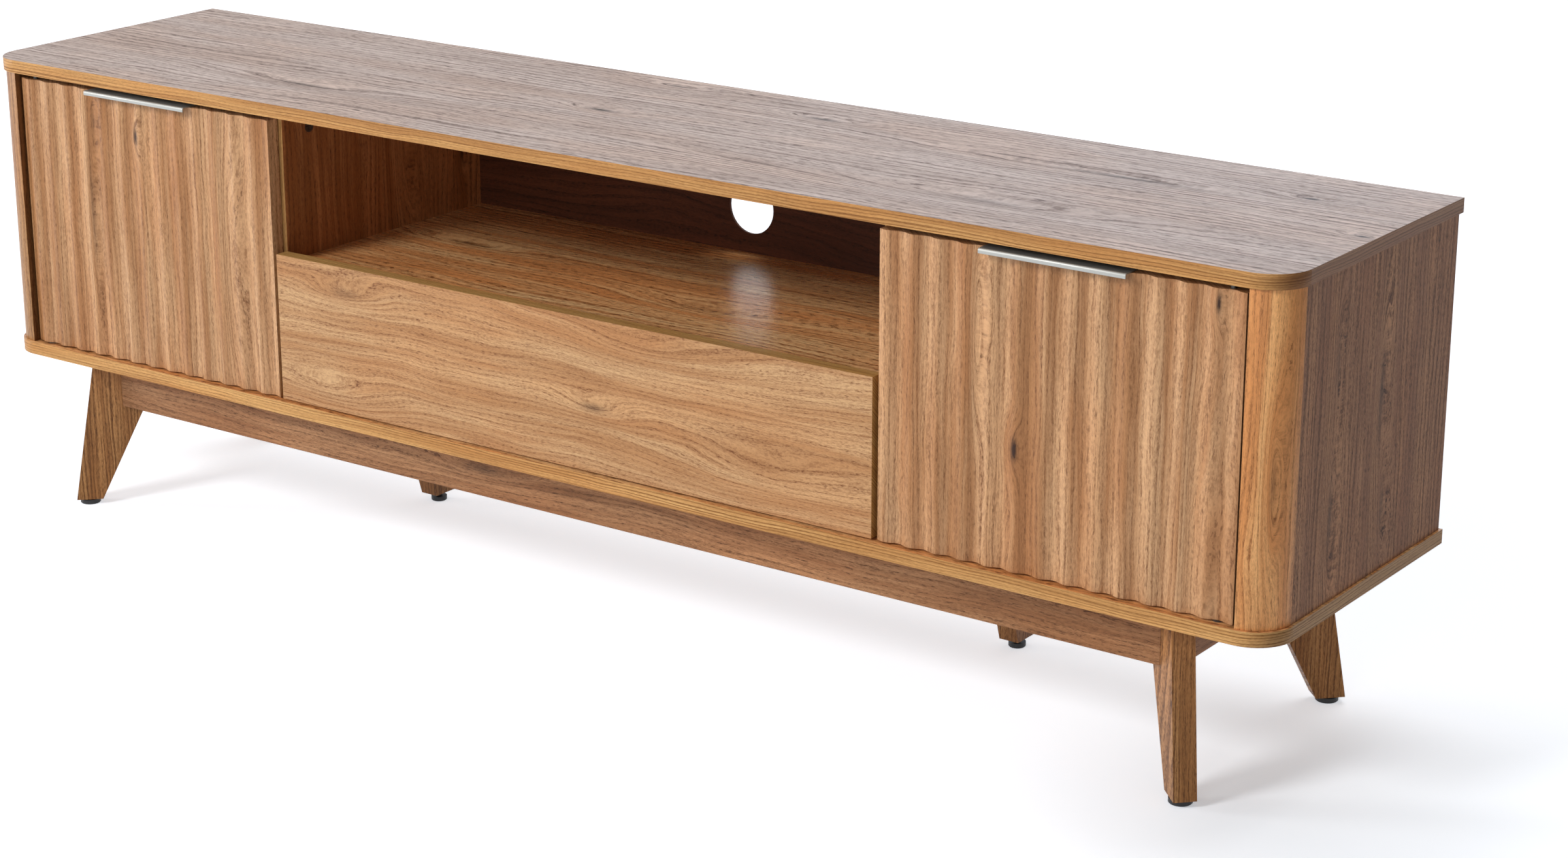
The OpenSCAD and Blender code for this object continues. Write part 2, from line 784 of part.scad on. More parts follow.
// a steel plate across each inner corner, flanged onto both rails
module corner_plate() {
  inner_u = rail_thickness * sqrt(2);
  half = plate_u - inner_u;
  translate([0, 0, plate_mid_z - plate_height / 2]) difference() {
    union() {
      translate([plate_u, -half, 0]) cube([plate_steel, 2 * half, plate_height]);
      for (side = [-1, 1]) mirror([0, side < 0 ? 1 : 0, 0])
        translate([plate_u, half, 0]) rotate(45) translate([0, -plate_steel, 0])
          cube([plate_flange, plate_steel, plate_height]);
    }
    rod_x([plate_u - 1, 0, plate_height / 2], plate_steel + 2, leg_bolt_dia);
  }
}

module corner_plates() {
  color("#9aa0a3") for (side = [-1, 1], end = [-1, 1]) at_corner(side, end) corner_plate();
}

// a bolt through each plate into the leg, with its nut
module leg_bolt() {
  rod_x([leg_in_u - leg_bolt_grip, 0, plate_mid_z],
    leg_bolt_grip + plate_u - leg_in_u + plate_steel + bolt_end, leg_bolt_dia);
  rod_x([plate_u + plate_steel, 0, plate_mid_z], nut_height, nut_dia, $fn = 6);
}

module leg_bolts() {
  color("#c9c9c9") for (side = [-1, 1], end = [-1, 1]) at_corner(side, end) leg_bolt();
}

// the centre legs' screws, which come through the rear rail from behind with sunk heads
module leg_screw_bores(over) {
  both_sides() for (z = leg_screw_zs) {
    rod_y([centre_leg_x, centre_leg_back - screw_bite, z], screw_bite + rail_thickness, screw_core);
    rod_y([centre_leg_x, frame_rear_y - screw_head, z], screw_head + over, screw_head_dia);
  }
}

// ten places where a rail meets the bottom board: its inner face is on Y = 0, and Y runs inwards
module at_brackets() {
  both_sides() {
    for (x = bracket_xs) {
      translate([x, frame_front_y + rail_thickness, base_under]) children();
      translate([x, frame_rear_y - rail_thickness, base_under]) rotate(180) children();
    }
    translate([frame_x - rail_thickness, frame_mid_y, base_under]) rotate(90) children();
  }
}

// a steel angle with a bore in each flange
module frame_bracket() {
  difference() {
    translate([-bracket_width / 2, 0, -bracket_reach]) cube([bracket_width, bracket_reach, bracket_reach]);
    translate([-bracket_width, plate_steel, -bracket_reach - plate_steel])
      cube([2 * bracket_width, bracket_reach, bracket_reach]);
    bracket_shanks();
  }
}

bracket_mid = (bracket_reach + plate_steel) / 2;

// the two screws' shanks inside the steel, and their heads on it
module bracket_shanks() {
  rod_y([0, 0, -bracket_mid], plate_steel, bracket_screw_dia);
  translate([0, bracket_mid, -plate_steel]) cylinder(d = bracket_screw_dia, h = plate_steel);
}

module bracket_heads() {
  rod_y([0, plate_steel, -bracket_mid], bracket_head, bracket_head_dia);
  translate([0, bracket_mid, -plate_steel - bracket_head]) cylinder(d = bracket_head_dia, h = bracket_head);
}

module frame_brackets() { color("#9aa0a3") at_brackets() frame_bracket(); }

module frame_screws() {
  color("#c9c9c9") {
    leg_screw_bores(0);
    at_brackets() {
      bracket_shanks();
      bracket_heads();
    }
  }
}

// ---- levelling glides ----

// a glide: a round foot and its threaded stem, standing on the floor
module glide(d, clearance) {
  cylinder(d = d - 2, h = 1);
  translate([0, 0, 1]) cylinder(d = d, h = glide_height - 1);
  cylinder(d = stem_dia, h = clearance + stem_length - glide_height);
}

module corner_glide(side, end) {
  at_corner(side, end) translate([foot_u, 0, 0]) glide(glide_dia, leg_clearance);
}

module centre_glide() {
  translate([centre_leg_x, centre_leg_back - centre_leg_foot_width / 2, 0])
    glide(centre_glide_dia, centre_clearance);
}

module front_left_glide() { color("#1c1c1c") corner_glide(-1, -1); }
module front_right_glide() { color("#1c1c1c") corner_glide(1, -1); }
module rear_left_glide() { color("#1c1c1c") corner_glide(-1, 1); }
module rear_right_glide() { color("#1c1c1c") corner_glide(1, 1); }
module left_centre_glide() { color("#1c1c1c") mirror([1, 0, 0]) centre_glide(); }
module right_centre_glide() { color("#1c1c1c") centre_glide(); }

// a threaded insert pressed into a leg's foot
module glide_insert(z) {
  translate([0, 0, z]) difference() {
    cylinder(d = insert_dia, h = insert_depth);
    translate([0, 0, -1]) cylinder(d = stem_dia + 2 * run, h = insert_depth + 2);
  }
}

module glide_inserts() {
  color("#b9a15a") {
    for (side = [-1, 1], end = [-1, 1])
      at_corner(side, end) translate([foot_u, 0, 0]) glide_insert(leg_clearance);
    both_sides() translate([centre_leg_x, centre_leg_back - centre_leg_foot_width / 2, 0])
      glide_insert(centre_clearance);
  }
}

// ---- the assembly ----

top_board();
bottom_board();
left_side_panel();
right_side_panel();
left_corner_post();
right_corner_post();
left_partition();
right_partition();
media_shelf();
left_back_sheet();
centre_back_sheet();
right_back_sheet();
left_inner_shelf();
right_inner_shelf();
shelf_pins();
cam_locks();
cam_bolts();
media_shelf_screws();
pivot_bushes();
door_catches();
left_door();
right_door();
left_door_handle();
right_door_handle();
left_handle_screws();
right_handle_screws();
left_pivot_pins();
right_pivot_pins();
left_strike_plate();
right_strike_plate();
drawer_front();
drawer_left_side();
drawer_right_side();
drawer_back();
drawer_bottom();
drawer_screws();
runner_outer_members();
runner_middle_members();
runner_inner_members();
front_rail();
rear_rail();
left_side_rail();
right_side_rail();
front_left_leg();
front_right_leg();
rear_left_leg();
rear_right_leg();
left_centre_leg();
right_centre_leg();
corner_plates();
leg_bolts();
frame_brackets();
frame_screws();
glide_inserts();
front_left_glide();
front_right_glide();
rear_left_glide();
rear_right_glide();
left_centre_glide();
right_centre_glide();
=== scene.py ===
import bpy
import bmesh
import math
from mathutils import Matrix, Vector

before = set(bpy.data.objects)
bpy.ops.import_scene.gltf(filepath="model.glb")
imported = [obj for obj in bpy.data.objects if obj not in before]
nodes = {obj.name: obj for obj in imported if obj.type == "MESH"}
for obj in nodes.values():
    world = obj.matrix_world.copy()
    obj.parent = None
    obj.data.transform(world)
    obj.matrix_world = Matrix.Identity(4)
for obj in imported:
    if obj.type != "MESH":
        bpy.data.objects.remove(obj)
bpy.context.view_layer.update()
print("frame loaded:", len(nodes), "nodes")

# the camera stands at the right front and looks down on the top board
cameraSetup = {"place": (2.2184, -2.8587, 1.3799), "tilt": 71.972, "turn": 35.502, "lens": 74.5,
               "sensor": 36}


def makeCamera(setup):
    data = bpy.data.cameras.new("camera")
    data.lens = setup["lens"]
    data.sensor_width = setup["sensor"]
    camera = bpy.data.objects.new("camera", data)
    camera.location = setup["place"]
    camera.rotation_euler = (math.radians(setup["tilt"]), 0, math.radians(setup["turn"]))
    bpy.context.scene.collection.objects.link(camera)
    bpy.context.scene.camera = camera


makeCamera(cameraSetup)
print("camera set")


class Wire:  # an output socket that can be used in Python expressions
    def __init__(self, graph, socket):
        self.graph = graph
        self.socket = socket

    def maths(self, operation, *values):
        return self.graph.maths(operation, *values)

    def __add__(self, other):
        return self.maths("ADD", self, other)

    def __radd__(self, other):
        return self.maths("ADD", other, self)

    def __sub__(self, other):
        return self.maths("SUBTRACT", self, other)

    def __rsub__(self, other):
        return self.maths("SUBTRACT", other, self)

    def __mul__(self, other):
        return self.maths("MULTIPLY", self, other)

    def __rmul__(self, other):
        return self.maths("MULTIPLY", other, self)

    def __truediv__(self, other):
        return self.maths("DIVIDE", self, other)

    def __pow__(self, other):
        return self.maths("POWER", self, other)


mixSockets = {"share": 0, "first": 6, "second": 7, "result": 2}  # a Mix node's sockets for colours


class Graph:  # the nodes of a material or of the world
    def __init__(self, owner, shader="Principled BSDF"):
        owner.use_nodes = True
        self.owner = owner
        self.nodes = owner.node_tree.nodes
        self.links = owner.node_tree.links
        self.shader = self.nodes[shader]

    def add(self, kind, settings=None, values=(), output=0):
        node = self.nodes.new(kind)
        for key, value in (settings or {}).items():
            setattr(node, key, value)
        pairs = values.items() if isinstance(values, dict) else enumerate(values)
        for key, value in pairs:
            self.feed(node.inputs[key], value)
        return Wire(self, node.outputs[output])

    def feed(self, target, value):
        if isinstance(value, Wire):
            self.links.new(value.socket, target)
        elif target.type == "RGBA" and len(value) == 3:
            target.default_value = (*value, 1)
        else:
            target.default_value = value

    def maths(self, operation, *values):
        return self.add("ShaderNodeMath", {"operation": operation}, values)

    def place(self):
        return self.add("ShaderNodeTexCoord", output="Object")

    def rays(self):  # 1 where the camera looks, 1 where a reflection looks
        return (self.add("ShaderNodeLightPath", output="Is Camera Ray"),
                self.add("ShaderNodeLightPath", output="Is Glossy Ray"))

    def along(self, place, direction):
        settings = {"operation": "DOT_PRODUCT"}
        return self.add("ShaderNodeVectorMath", settings, (place, direction), "Value")

    def point(self, x, y, z=0.0):
        return self.add("ShaderNodeCombineXYZ", {}, (x, y, z))

    def noise(self, point, detail, roughness, scale=1.0):
        values = {"Vector": point, "Scale": scale, "Detail": detail, "Roughness": roughness}
        return self.add("ShaderNodeTexNoise", {}, values, "Fac")

    def ramp(self, value, low, high, start=0.0, end=1.0):
        settings = {"clamp": True, "interpolation_type": "SMOOTHSTEP"}
        return self.add("ShaderNodeMapRange", settings, (value, low, high, start, end))

    def blend(self, share, first, second, way="MIX"):
        settings = {"data_type": "RGBA", "blend_type": way, "clamp_factor": True}
        values = {mixSockets["share"]: share, mixSockets["first"]: first, mixSockets["second"]: second}
        return self.add("ShaderNodeMix", settings, values, mixSockets["result"])

    def bump(self, height, distance, strength):
        values = {"Height": height, "Distance": distance, "Strength": strength}
        return self.add("ShaderNodeBump", {}, values)

    def set(self, **values):
        for key, value in values.items():
            self.feed(self.shader.inputs[key.replace("_", " ")], value)


screenCurve = {"top": 255, "knee": 0.04045, "slope": 12.92, "lift": 0.055, "power": 2.4}


def linear(level):
    share = level / screenCurve["top"]
    if share <= screenCurve["knee"]:
        return share / screenCurve["slope"]
    return ((share + screenCurve["lift"]) / (1 + screenCurve["lift"])) ** screenCurve["power"]


def colour(red, green, blue):  # a colour as a screen shows it, 0 to 255
    return (linear(red), linear(green), linear(blue))


grainX = (1, 0, 0)
grainZ = (0, 0, 1)

# Each look: the grain's direction, the direction across it and where that starts, three tones, the
# rings' pitch, how far they sway (in rings) over which lengths, the strength of ring lines, pores,
# fibres and tone bands, the share of the lines that breaks up into pores, and the roughness.
# Lengths are in metres. A look may have its own grainScale for some parts, and its own specular.
# figures are (along, across, length, width, lift, core): places where the rings swell round a knot.
oakLooks = {
    # the top's pale and mid tones are oak washed grey-pink: partly the oak's colour, partly a painted sheen
    # of the white surround
    "topFace": {"grain": grainX, "cross": (0, 1, 1), "datum": 0.572, "seed": 3.1,
                "pale": colour(214, 196, 188), "mid": colour(182, 161, 151), "dark": colour(72, 48, 40),
                "ring": 0.0100, "swing": 2.2, "reach": 0.40, "width": 0.085,
                "hair": (0.14, 2.4), "vessel": (0.016, 4.4), "speck": (0.012, 3.6), "specular": 0.15,
                "line": 1.0, "pore": 0.60, "fibre": 0.60, "tone": 0.60, "broken": 0.4, "gloss": 0.42,
                "figures": [(-0.46, -0.09, 0.13, 0.020, 3.2, 0.5), (-0.083, 0.007, 0.05, 0.013, 2.6, 0.8),
                            (0.153, 0.114, 0.06, 0.012, 2.2, 0.7), (-0.091, 0.162, 0.05, 0.010, 2.0, 0.6),
                            (0.50, -0.105, 0.17, 0.026, 4.0, 0.3), (0.57, 0.069, 0.20, 0.014, 2.6, 0.5),
                            (0.775, 0.099, 0.028, 0.008, 2.0, 0.9), (0.885, -0.01, 0.024, 0.008, 2.0, 0.9)]},
    "edge": {"grain": (1, 1, 0), "cross": (0, 0, 1), "datum": 0.0, "seed": 5.7,
             "pale": colour(228, 178, 114), "mid": colour(192, 138, 80), "dark": colour(98, 54, 20),
             "ring": 0.0034, "swing": 1.0, "reach": 0.16, "width": 0.03,
             "line": 0.95, "pore": 0.40, "fibre": 0.50, "tone": 0.8, "broken": 0.1, "gloss": 0.38,
             "figures": []},
    "door": {"grain": grainZ, "cross": (1, 1, 0), "datum": -0.1865, "seed": 11.3,
             "pale": colour(216, 171, 127), "mid": colour(174, 121, 76), "dark": colour(84, 44, 16),
             "ring": 0.0078, "swing": 1.0, "reach": 0.45, "width": 0.05,
             "line": 0.50, "pore": 0.55, "fibre": 0.52, "tone": 0.9, "broken": 0.3, "gloss": 0.40,
             "figures": [(0.343, 0.598, 0.035, 0.010, 2.0, 1.0), (0.534, 0.823, 0.03, 0.008, 1.8, 0.9),
                         (0.24, 0.812, 0.22, 0.022, 3.2, 0.0), (0.46, 0.552, 0.09, 0.008, 2.4, 0.0),
                         (0.500, -0.652, 0.03, 0.009, 2.0, 0.9), (0.40, -0.735, 0.14, 0.008, 2.2, 0.30),
                         (0.51, -0.725, 0.06, 0.009, 2.2, 0.35), (0.38, -0.50, 0.18, 0.022, 3.4, 0.0)]},
    "drawer": {"grain": grainX, "cross": (0, 1, 1), "datum": -0.1865, "seed": 7.9,
               "pale": colour(214, 172, 125), "mid": colour(182, 130, 82), "dark": colour(100, 50, 20),
               "ring": 0.0072, "swing": 2.6, "reach": 0.28, "width": 0.09,
               "line": 0.62, "pore": 0.70, "fibre": 0.55, "tone": 0.8, "broken": 0.5, "gloss": 0.40,
               "figures": [(0.052, 0.287, 0.05, 0.014, 2.6, 0.5), (0.128, 0.370, 0.13, 0.030, 4.0, 0.0),
                           (-0.002, 0.402, 0.09, 0.016, 2.6, 0.3), (-0.317, 0.358, 0.06, 0.014, 2.2, 0.3),
                           (0.32, 0.25, 0.18, 0.030, 3.4, 0.0), (-0.34, 0.235, 0.11, 0.022, 3.4, 0.0)]},
    # the right post's tones are lighter than its oak: painted light that stands in for light it lacks
    "post": {"grain": grainZ, "cross": (1, 1, 0), "datum": 0.0, "seed": 23.4,
             "pale": colour(254, 193, 128), "mid": colour(220, 149, 88), "dark": colour(104, 54, 20),
             "ring": 0.0085, "swing": 1.7, "reach": 0.22, "width": 0.035,
             "line": 0.60, "pore": 0.60, "fibre": 0.55, "tone": 1.0, "broken": 0.3, "gloss": 0.40,
             "figures": [(0.36, 0.708, 0.08, 0.014, 3.6, 0.4)]},
    "postLeft": {"grain": grainZ, "cross": (1, -1, 0), "datum": 0.0, "seed": 27.4,
                 "pale": colour(182, 134, 86), "mid": colour(150, 102, 58), "dark": colour(80, 44, 18),
                 "ring": 0.0085, "swing": 1.7, "reach": 0.22, "width": 0.035,
                 "line": 0.60, "pore": 0.60, "fibre": 0.50, "tone": 1.0, "broken": 0.3, "gloss": 0.40,
                 "figures": []},
    # the side's tones are darker and greyer than the doors' oak: partly its colour, partly painted shade
    "side": {"grain": grainZ, "cross": (0.35, 1, 0), "datum": 0.314, "seed": 31.9,
             "pale": colour(186, 134, 93), "mid": colour(145, 97, 65), "dark": colour(56, 30, 18),
             "ring": 0.0090, "swing": 2.0, "reach": 0.45, "width": 0.06,
             "line": 0.90, "pore": 1.00, "fibre": 0.85, "tone": 0.9, "broken": 0.3, "gloss": 0.5,
             "specular": 0.2,
             "figures": [(0.40, 0.03, 0.12, 0.014, 3.6, 0.5), (0.28, 0.045, 0.08, 0.012, 3.0, 0.4),
                         (0.30, -0.074, 0.10, 0.014, 3.4, 0.5), (0.46, -0.072, 0.08, 0.010, 2.4, 0.3)]},
    # the shelf's tones are lighter than its oak: painted light in the shaded bay; the bottom board's face
    # takes them too
    "shelf": {"grain": grainX, "cross": (0, 1, 1), "datum": 0.3765, "seed": 41.2,
              "pale": colour(255, 210, 150), "mid": colour(238, 166, 103), "dark": colour(104, 56, 22),
              "hair": (0.12, 2.4), "vessel": (0.011, 3.4), "speck": (0.008, 3.0),
              "ring": 0.0100, "swing": 2.0, "reach": 0.32, "width": 0.07,
              "line": 0.85, "pore": 0.90, "fibre": 0.65, "tone": 1.0, "broken": 0.3, "gloss": 0.22,
              "specular": 0.4,
              "figures": [(0.10, -0.05, 0.14, 0.030, 3.5, 0.2), (-0.30, 0.02, 0.10, 0.016, 3.2, 0.5)]},
    "inner": {"grain": grainZ, "cross": (0.4, 1, 0), "datum": 0.0, "seed": 47.7,
              "pale": colour(196, 130, 80), "mid": colour(152, 91, 47), "dark": colour(64, 30, 12),
              "ring": 0.0080, "swing": 2.0, "reach": 0.30, "width": 0.06,
              "line": 0.60, "pore": 0.55, "fibre": 0.50, "tone": 0.9, "broken": 0.4, "gloss": 0.42,
              "figures": [(0.47, -0.13, 0.13, 0.022, 4.0, 0.0), (0.45, -0.02, 0.04, 0.010, 2.2, 0.6)]},
    "back": {"grain": grainX, "cross": (0, 1, 1), "datum": 0.0, "seed": 53.1,
             "pale": colour(106, 60, 38), "mid": colour(76, 40, 24), "dark": colour(28, 13, 6),
             "ring": 0.0110, "swing": 2.8, "reach": 0.35, "width": 0.09,
             "line": 0.60, "pore": 0.50, "fibre": 0.45, "tone": 0.9, "broken": 0.4, "gloss": 0.6,
             "figures": []},
    "rail": {"grain": grainX, "cross": (0, 1, 1), "datum": 0.0, "seed": 61.5,
             "pale": colour(193, 145, 103), "mid": colour(152, 105, 68), "dark": colour(70, 36, 14),
             "ring": 0.0066, "swing": 2.4, "reach": 0.26, "width": 0.05,
             "line": 0.65, "pore": 0.85, "fibre": 0.60, "tone": 1.0, "broken": 0.5, "gloss": 0.45,
             "figures": [(-0.15, 0.02, 0.08, 0.016, 2.6, 0.4)]},
    "railSide": {"grain": (0, 1, 0), "cross": (1, 0, 1), "datum": 0.0, "seed": 65.5,
                 "pale": colour(178, 128, 84), "mid": colour(146, 98, 58), "dark": colour(72, 38, 16),
                 "ring": 0.0066, "swing": 1.8, "reach": 0.26, "width": 0.05,
                 "line": 0.60, "pore": 0.75, "fibre": 0.50, "tone": 0.9, "broken": 0.5, "gloss": 0.45,
                 "figures": []},
    "leg": {"grain": grainZ, "cross": (1, 0.7, 0), "datum": 0.0, "seed": 71.3,
            "pale": colour(198, 146, 92), "mid": colour(158, 106, 58), "dark": colour(66, 34, 12),
            "ring": 0.0056, "swing": 1.0, "reach": 0.22, "width": 0.03,
            "line": 0.95, "pore": 0.80, "fibre": 0.75, "tone": 0.9, "broken": 0.2, "gloss": 0.42,
            "figures": []},
}
grainScale = {  # each part's length in metres, then its cells in a ring, or the ripple's width
    "ripple": (0.07, 0.014), "band": (0.50, 0.30), "uneven": (0.5, 0.5), "vessel": (0.0065, 7.5),
    "hair": (0.075, 3.6), "speck": (0.0050, 5.5), "warmth": (0.25, 0.12),
}
grainNoise = {  # each part's shift from the look's seed, and its noise's detail and roughness
    "sway": (0, 1.5, 0.45), "ripple": (9, 2.0, 0.5), "band": (1, 3.0, 0.6), "warmth": (4, 2.0, 0.5),
    "uneven": (3, 1.0, 0.5), "vessel": (2, 2.0, 0.6), "hair": (6, 4.0, 0.75), "speck": (7, 2.0, 0.7),
}
grainSpan = {  # where each part sets in and where it is full, on its noise or on its ring
    "band": (0.36, 0.64), "warmth": (0.4, 0.65), "lineRise": (0.42, 0.92), "lineFall": (1.0, 0.94),
    "strong": (0.35, 0.65, 0.3, 1.0), "vessel": (0.52, 0.64), "hair": (0.40, 0.64), "speck": (0.35, 0.65),
}
grainShare = {  # how much of each part goes into the next
    "rippleRings": 0.9, "unevenRings": 1.6, "followRings": 0.7, "keepStraight": 0.3, "warmth": 0.7,
    "speckInFibre": 0.6, "speckAlone": 0.35, "lineInPore": 0.65, "veinTone": 0.6, "veinDepth": 0.7,
    "rougher": 0.15,
}
knot = {"edge": 8.0, "tone": 0.35, "vessel": 0.4, "core": 1.2}  # a dark core in the swell of the rings


def partNoise(graph, key, look, along, across):
    shift, detail, roughness = grainNoise[key]
    return graph.noise(graph.point(along, across, look["seed"] + shift), detail, roughness)


def ringNoise(graph, key, look, along, rings):
    length, share = look.get(key, grainScale[key])
    return partNoise(graph, key, look, along / length, rings * share)


def oakRings(graph, look, along, across):  # the ring field, and how dark the knots' cores are
    sway = partNoise(graph, "sway", look, along / look["reach"], across / look["width"]) - 0.5
    rippleLength, rippleWidth = grainScale["ripple"]
    ripple = partNoise(graph, "ripple", look, along / rippleLength, across / rippleWidth) - 0.5
    rings = across / look["ring"] + sway * (2 * look["swing"]) + ripple * grainShare["rippleRings"]
    core = None
    for atAlong, atAcross, length, width, lift, depth in look["figures"]:
        first = (along - atAlong) / length
        second = (across - atAcross) / width
        hill = graph.maths("EXPONENT", (first * first + second * second) * -1.0)
        rings = rings + hill * lift
        if depth:
            spot = hill ** knot["edge"] * depth
            core = spot if core is None else core + spot
    return rings, core


def oakSurface(graph, look, place):
    share = grainShare
    along = graph.along(place, look["grain"])
    across = graph.along(place, look["cross"]) - look["datum"]
    rings, core = oakRings(graph, look, along, across)
    # pores stay short where the rings level out, because they follow the rings only in part
    straighter = rings * share["followRings"] + across * (share["keepStraight"] / look["ring"])
    # broad bands of lighter, darker and redder wood that follow the rings
    band = graph.ramp(ringNoise(graph, "band", look, along, rings), *grainSpan["band"])
    warmth = graph.ramp(ringNoise(graph, "warmth", look, along, rings), *grainSpan["warmth"])
    # ring lines, uneven in pitch and strength
    uneven = ringNoise(graph, "uneven", look, along, rings)
    phase = graph.maths("FRACT", rings + uneven * share["unevenRings"])
    line = graph.ramp(phase, *grainSpan["lineRise"]) * graph.ramp(phase, *grainSpan["lineFall"])
    strong = graph.ramp(uneven, *grainSpan["strong"])
    # short dark pores and long fibres that lie along the rings
    vessel = graph.ramp(ringNoise(graph, "vessel", look, along, straighter), *grainSpan["vessel"])
    fibre = graph.ramp(ringNoise(graph, "hair", look, along, rings), *grainSpan["hair"])
    speck = graph.ramp(ringNoise(graph, "speck", look, along, straighter), *grainSpan["speck"])
    broken = look["broken"]
    inFibre = speck * share["speckInFibre"] + (1 - share["speckInFibre"])
    vein = (line * strong * (vessel * broken + (1 - broken)) * look["line"]
            + fibre * inFibre * look["fibre"] + speck * look["fibre"] * share["speckAlone"])
    vein = graph.maths("MINIMUM", vein, 1.0)
    pore = vessel * (line * share["lineInPore"] + (1 - share["lineInPore"])) * look["pore"]
    base = graph.blend(band * look["tone"], look["pale"], look["mid"])
    reddened = graph.blend(band * look["tone"], redder(look["pale"]), redder(look["mid"]))
    wood = graph.blend(warmth * share["warmth"], base, reddened)
    veined = graph.blend(vein, wood, between(look["mid"], look["dark"], share["veinTone"]))
    mixed = graph.blend(pore, veined, look["dark"])
    if core is not None:
        deep = scaled(look["dark"], knot["tone"])
        mixed = graph.blend(core * (vessel * knot["vessel"] + knot["core"]), mixed, deep)
    dark = graph.maths("MAXIMUM", vein * share["veinDepth"], pore)
    return mixed, dark * share["rougher"] + look["gloss"], 1 - dark


def between(first, second, share):
    return tuple(one + (two - one) * share for one, two in zip(first, second))


def scaled(tone, share):
    return tuple(part * share for part in tone)


warmShift = (1.03, 0.93, 0.85)


def redder(tone):
    return tuple(part * share for part, share in zip(tone, warmShift))


grainRelief = {"depth": 0.00012, "strength": 0.6, "specular": 0.25}  # depth in metres
facing = {"flat": (0.6, 0.75), "ends": (0.3, 0.95)}  # how squarely a face must look along an axis


def finishOak(graph, look, mixed, rough, height):
    relief = graph.bump(height, grainRelief["depth"], grainRelief["strength"])
    graph.set(Base_Color=mixed, Roughness=rough, Normal=relief)
    graph.shader.inputs["Specular IOR Level"].default_value = look.get("specular", grainRelief["specular"])
    return graph.owner


def oakMaterial(name, look):
    graph = Graph(bpy.data.materials.new(name))
    return finishOak(graph, look, *oakSurface(graph, look, graph.place()))


def boardMaterial(name, face, edge, faceAxis, ends=None):  # its edges carry a band of another cut
    graph = Graph(bpy.data.materials.new(name))
    place = graph.place()
    faceColour, faceRough, faceHeight = oakSurface(graph, face, place)
    edgeColour, edgeRough, edgeHeight = oakSurface(graph, edge, place)
    normal = graph.add("ShaderNodeTexCoord", output="Normal")
    # edges that face along x, at the board's ends, are painted darker: painted shade
    if ends:
        endShadeMask = graph.ramp(graph.maths("ABSOLUTE", graph.along(normal, grainX)), *facing["ends"])
        edgeColour = graph.blend(endShadeMask, edgeColour, graph.blend(1.0, edgeColour, ends, "MULTIPLY"))
    flat = graph.ramp(graph.maths("ABSOLUTE", graph.along(normal, faceAxis)), *facing["flat"])
    mixed = graph.blend(flat, edgeColour, faceColour)
    rough = flat * faceRough + (1 - flat) * edgeRough
    return finishOak(graph, face, mixed, rough, flat * faceHeight + (1 - flat) * edgeHeight)


def postMaterial(name, look, towardsDoor, gapShade):  # the face beside the door is painted dark: painted shade of the gap
    graph = Graph(bpy.data.materials.new(name))
    mixed, rough, height = oakSurface(graph, look, graph.place())
    normal = graph.add("ShaderNodeTexCoord", output="Normal")
    beside = graph.ramp(graph.along(normal, towardsDoor), *facing["flat"])
    # painted shade: the face beside the door is darkened to stand in for the gap's shadow
    gapShaded = graph.blend(1.0, mixed, gapShade, "MULTIPLY")
    return finishOak(graph, look, graph.blend(beside, mixed, gapShaded), rough, height)


mottle = {"scale": 900.0, "detail": 3.0, "roughness": 0.6, "share": 0.25, "darker": 0.8, "rougher": 0.12,
          "bump": 0.5}


def plainMaterial(name, tint, rough, metal, grit):  # steel, brass or plastic, faintly mottled
    graph = Graph(bpy.data.materials.new(name))
    cloud = graph.noise(graph.place(), mottle["detail"], mottle["roughness"], mottle["scale"])
    graph.set(Base_Color=graph.blend(cloud * mottle["share"], tint, scaled(tint, mottle["darker"])))
    graph.set(Roughness=cloud * mottle["rougher"] + rough, Metallic=metal)
    if grit:
        graph.set(Normal=graph.bump(cloud, grit, mottle["bump"]))
    return graph.owner


brushing = {"across": 2500.0, "along": 60.0, "detail": 2.0, "roughness": 0.5, "share": 0.3,
            "darker": 0.82, "rougher": 0.15, "depth": 0.00002, "bump": 0.3}


def brushedMaterial(name, tint, rough, direction):  # metal with fine lines along one direction
    graph = Graph(bpy.data.materials.new(name))
    place = graph.place()
    squeeze = {"Vector": place, "Scale": brushing["across"]}
    fine = graph.add("ShaderNodeVectorMath", {"operation": "SCALE"}, squeeze)
    stretch = graph.along(place, direction) * (brushing["across"] - brushing["along"])
    lined = graph.add("ShaderNodeVectorMath", {"operation": "SUBTRACT"}, (fine, graph.point(stretch, 0, 0)))
    line = graph.noise(lined, brushing["detail"], brushing["roughness"])
    graph.set(Base_Color=graph.blend(line * brushing["share"], tint, scaled(tint, brushing["darker"])))
    graph.set(Roughness=line * brushing["rougher"] + rough, Metallic=1.0)
    graph.set(Normal=graph.bump(line, brushing["depth"], brushing["bump"]))
    return graph.owner


